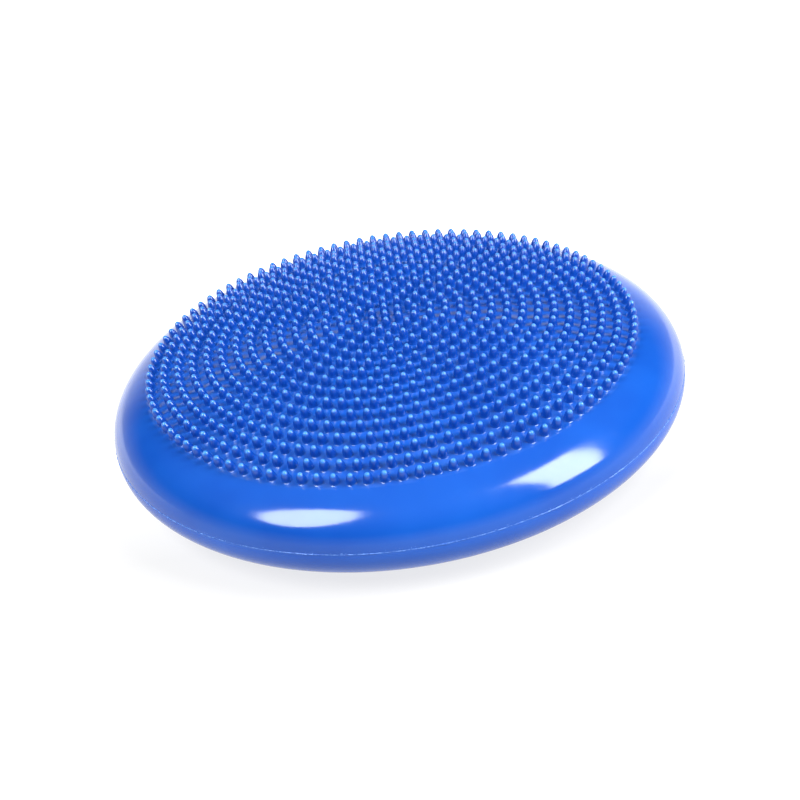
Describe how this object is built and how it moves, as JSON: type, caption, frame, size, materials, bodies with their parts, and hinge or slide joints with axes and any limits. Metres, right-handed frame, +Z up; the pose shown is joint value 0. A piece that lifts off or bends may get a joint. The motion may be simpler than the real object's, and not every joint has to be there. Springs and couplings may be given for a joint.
{
  "type": "wobble cushion",
  "caption": "Round inflatable balance cushion with a crowned spiked face, a bulging side wall and an air valve with a push-in plug.",
  "frame": {"origin": "centre of the underside, on the surface that the cushion rests on", "axes": "+Z up through the centre of the spiked face; +Y towards the air valve at the back; +X to the right seen from the front"},
  "size_m": [0.3302, 0.3301, 0.0753],
  "materials": {
    "lower_skin": "soft satin air-cushion skin, blue",
    "seam_bead": "thin paler mould flash, satin",
    "side_wall": "soft glossy air-cushion skin, blue",
    "spiked_top": "soft glossy air-cushion skin with moulded spikes, blue",
    "valve_seat": "satin moulded-in valve, darker blue",
    "valve_plug": "satin push-in plug, darker blue"
  },
  "bodies": {
    "base": {"lower_skin": "lower_skin"},
    "rocker": {"side_wall": "side_wall", "seam_bead": "seam_bead", "valve_seat": "valve_seat"},
    "top": {"spiked_top": "spiked_top"},
    "plug": {"valve_plug": "valve_plug"}
  },
  "joints": [
    {"name": "tilt_front_back", "type": "hinge", "parent": "base", "child": "rocker", "pos_m": [0, 0, 0.026], "axis": [1, 0, 0], "range_deg": [-4, 4], "stiffness_Nm_per_rad": 60, "deforming": ["lower_skin"]},
    {"name": "tilt_side_side", "type": "hinge", "parent": "rocker", "child": "top", "pos_m": [0, 0, 0.026], "axis": [0, 1, 0], "range_deg": [-4, 4], "stiffness_Nm_per_rad": 60, "deforming": ["side_wall"]},
    {"name": "plug_slide", "type": "slide", "parent": "rocker", "child": "plug", "axis": [0, 1, 0], "range_m": [0, 0.012]}
  ]
}
